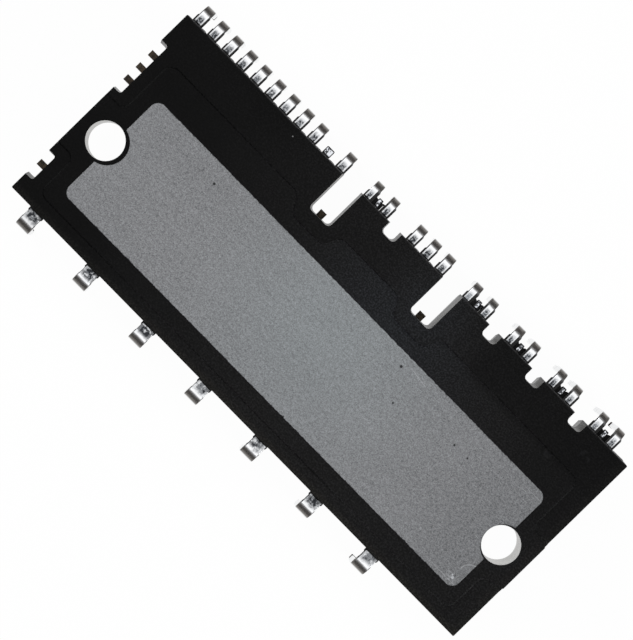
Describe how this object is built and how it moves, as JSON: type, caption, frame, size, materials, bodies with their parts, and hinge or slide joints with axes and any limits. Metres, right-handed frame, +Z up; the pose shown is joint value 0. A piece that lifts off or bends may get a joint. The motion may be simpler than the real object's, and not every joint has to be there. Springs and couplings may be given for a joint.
{
  "type": "intelligent power module",
  "caption": "Moulded dual-in-line power module with a flush metal heat spreader, screw holes, power leads on one side and fine control leads on the other.",
  "frame": {"origin": "on the floor plane that the lead tips stand on, under the middle of the moulded body", "axes": "+Z up, out of the heat spreader; +Y towards the control lead side; +X along the body, towards the end with the gate pad"},
  "size_m": [0.0786, 0.0368, 0.0135],
  "materials": {
    "black_epoxy": "fine matt moulding texture",
    "spreader_metal": "matt grey metal, faint rolling lines",
    "tinned_copper": "bright tin plating over copper",
    "bare_copper": "dull brown sheared copper",
    "insulation": "filled resin sheet",
    "silicon": "polished silicon",
    "solder": "soft solder",
    "aluminium_wire": "drawn wire",
    "gold_wire": "drawn wire"
  },
  "bodies": {
    "root": {"chip_solder": "solder", "control_lead_01": "tinned_copper", "control_lead_02": "tinned_copper", "control_lead_03": "tinned_copper", "control_lead_04": "tinned_copper", "control_lead_05": "tinned_copper", "control_lead_06": "tinned_copper", "control_lead_07": "tinned_copper", "control_lead_08": "tinned_copper", "control_lead_09": "tinned_copper", "control_lead_10": "tinned_copper", "control_lead_11": "tinned_copper", "control_lead_12": "tinned_copper", "control_lead_13": "tinned_copper", "control_lead_14": "tinned_copper", "control_lead_15": "tinned_copper", "control_lead_16": "tinned_copper", "control_lead_17": "tinned_copper", "control_lead_18": "tinned_copper", "control_lead_19": "tinned_copper", "control_lead_20": "tinned_copper", "control_lead_21": "tinned_copper", "control_lead_22": "tinned_copper", "control_lead_23": "tinned_copper", "cut_leads": "tinned_copper", "end_tie_bars": "bare_copper", "heat_spreader": "spreader_metal", "high_diode_u": "silicon", "high_diode_v": "silicon", "high_diode_w": "silicon", "high_side_driver_1": "silicon", "high_side_driver_2": "silicon", "high_side_driver_3": "silicon", "high_switch_u": "silicon", "high_switch_v": "silicon", "high_switch_w": "silicon", "insulating_sheet": "insulation", "low_diode_u": "silicon", "low_diode_v": "silicon", "low_diode_w": "silicon", "low_side_driver": "silicon", "low_switch_u": "silicon", "low_switch_v": "silicon", "low_switch_w": "silicon", "mould_body": "black_epoxy", "power_lead_negative_u": "tinned_copper", "power_lead_negative_v": "tinned_copper", "power_lead_negative_w": "tinned_copper", "power_lead_output_u": "tinned_copper", "power_lead_output_v": "tinned_copper", "power_lead_output_w": "tinned_copper", "power_lead_positive": "tinned_copper", "power_wires": "aluminium_wire", "signal_wires": "gold_wire", "slot_tie_bars": "bare_copper"}
  },
  "joints": []
}
